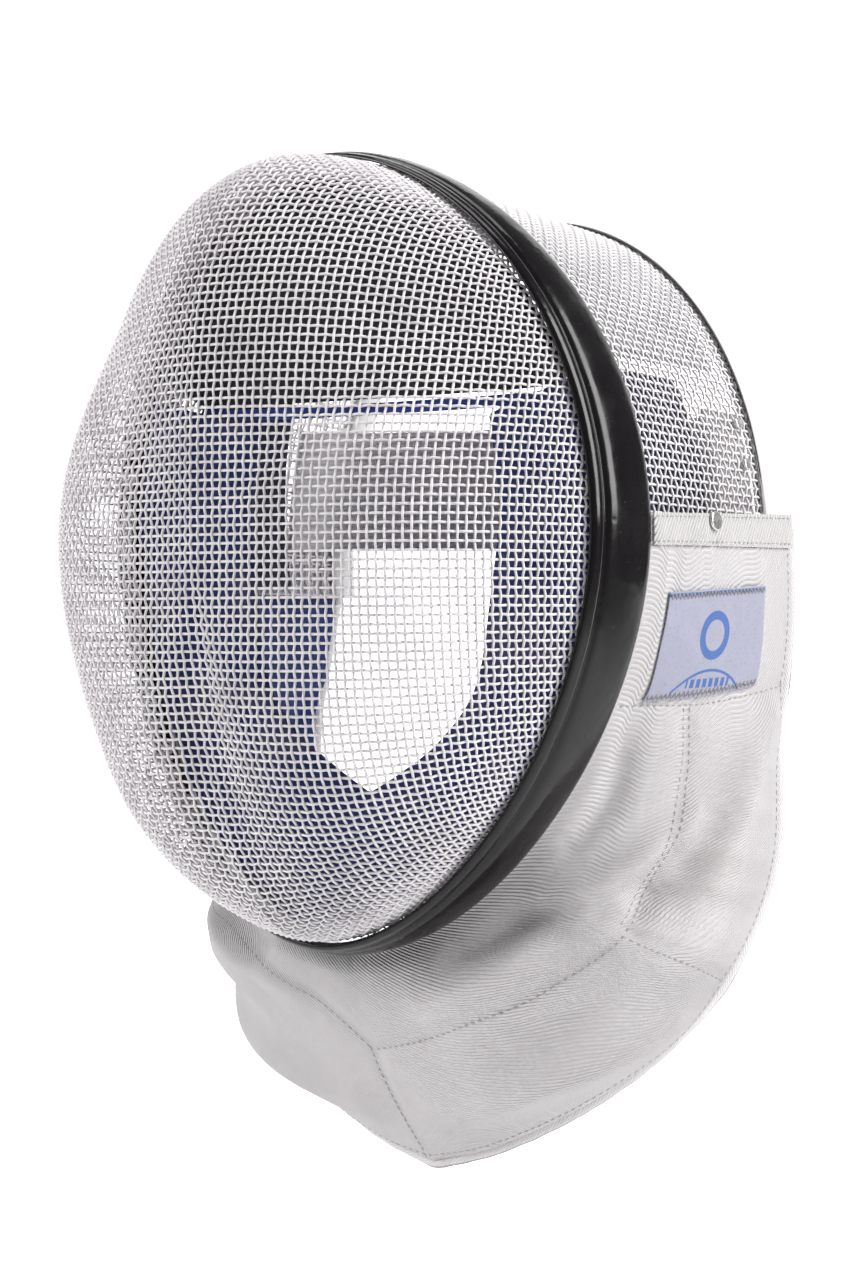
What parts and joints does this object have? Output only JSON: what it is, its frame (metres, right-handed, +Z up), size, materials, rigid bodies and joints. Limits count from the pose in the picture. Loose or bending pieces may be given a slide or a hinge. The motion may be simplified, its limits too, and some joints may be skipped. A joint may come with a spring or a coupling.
{
  "type": "fencing mask",
  "caption": "Fencing mask: domed wire-mesh face in a black moulded ring, arched mesh crown with an elastic strap, and a padded white throat bib with a blue lining.",
  "frame": {"origin": "where the crown of the wearer's head touches the inner top of the crown lining", "axes": "the wearer faces -Y, the wearer's left is +X, +Z up"},
  "size_m": [0.2352, 0.2146, 0.3739],
  "materials": {
    "painted_wire": "satin",
    "painted_wire_crown": "satin",
    "black_moulding": "gloss",
    "white_channel": "satin",
    "black_strip": "matt",
    "white_twill": "matt",
    "blue_lining": "matt",
    "white_binding": "matt",
    "white_tape": "matt",
    "steel_rivet": "polished",
    "woven_label": "matt",
    "forehead_cloth": "matt",
    "blue_piping": "matt",
    "blue_padding": "matt",
    "crown_cloth": "matt",
    "side_padding": "matt",
    "grey_elastic": "matt",
    "steel_strap_rivet": "polished"
  },
  "bodies": {
    "root": {"front_mesh": "painted_wire", "crown_mesh": "painted_wire_crown", "edge_trim": "black_moulding", "rear_band": "white_channel", "rear_gasket": "black_strip", "bib": "white_twill", "bib_lining": "blue_lining", "bib_binding": "white_binding", "ear_tape_left": "white_tape", "ear_tape_right": "white_tape", "tape_rivet_left": "steel_rivet", "tape_rivet_right": "steel_rivet", "label": "woven_label", "forehead_pad": "forehead_cloth", "forehead_piping": "blue_piping", "face_pad": "blue_padding", "crown_lining": "crown_cloth", "side_pad_left": "side_padding", "side_pad_right": "side_padding", "head_strap": "grey_elastic", "strap_rivet_left_lower": "steel_strap_rivet", "strap_rivet_left_upper": "steel_strap_rivet", "strap_rivet_right_lower": "steel_strap_rivet", "strap_rivet_right_upper": "steel_strap_rivet"}
  },
  "joints": []
}
